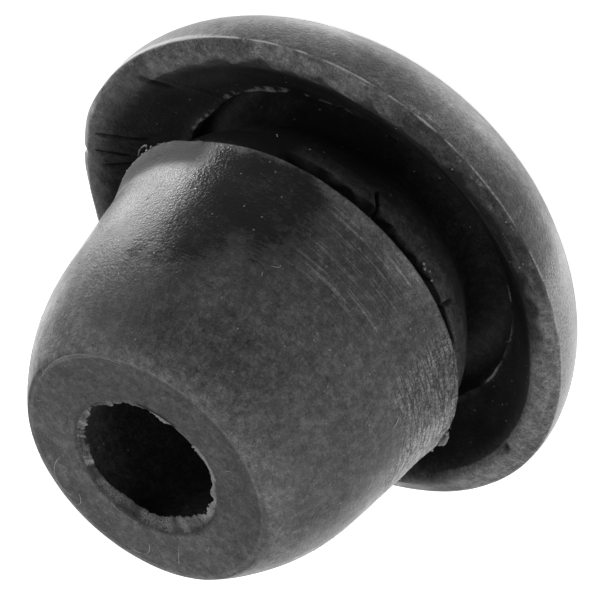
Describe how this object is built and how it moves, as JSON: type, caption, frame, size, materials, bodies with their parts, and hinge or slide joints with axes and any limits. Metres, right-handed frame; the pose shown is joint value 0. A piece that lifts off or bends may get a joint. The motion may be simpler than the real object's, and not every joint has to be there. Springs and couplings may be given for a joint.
{
  "type": "rubber grommet",
  "caption": "One-piece moulded rubber grommet with a domed mushroom head, an undercut neck that a panel snaps onto, a rounded plug body and a central through hole.",
  "frame": {"origin": "centre of the seat ring round the hole in the crown, which the grommet stands on", "axes": "+Z along the hole, from the domed head up to the nose; -Y faces the side of the neck that has the split"},
  "size_m": [0.024, 0.024, 0.0202],
  "materials": {
    "rubber": "black moulded rubber, satin where handled, dull and scuffed elsewhere"
  },
  "bodies": {
    "root": {"grommet": "rubber"}
  },
  "joints": []
}
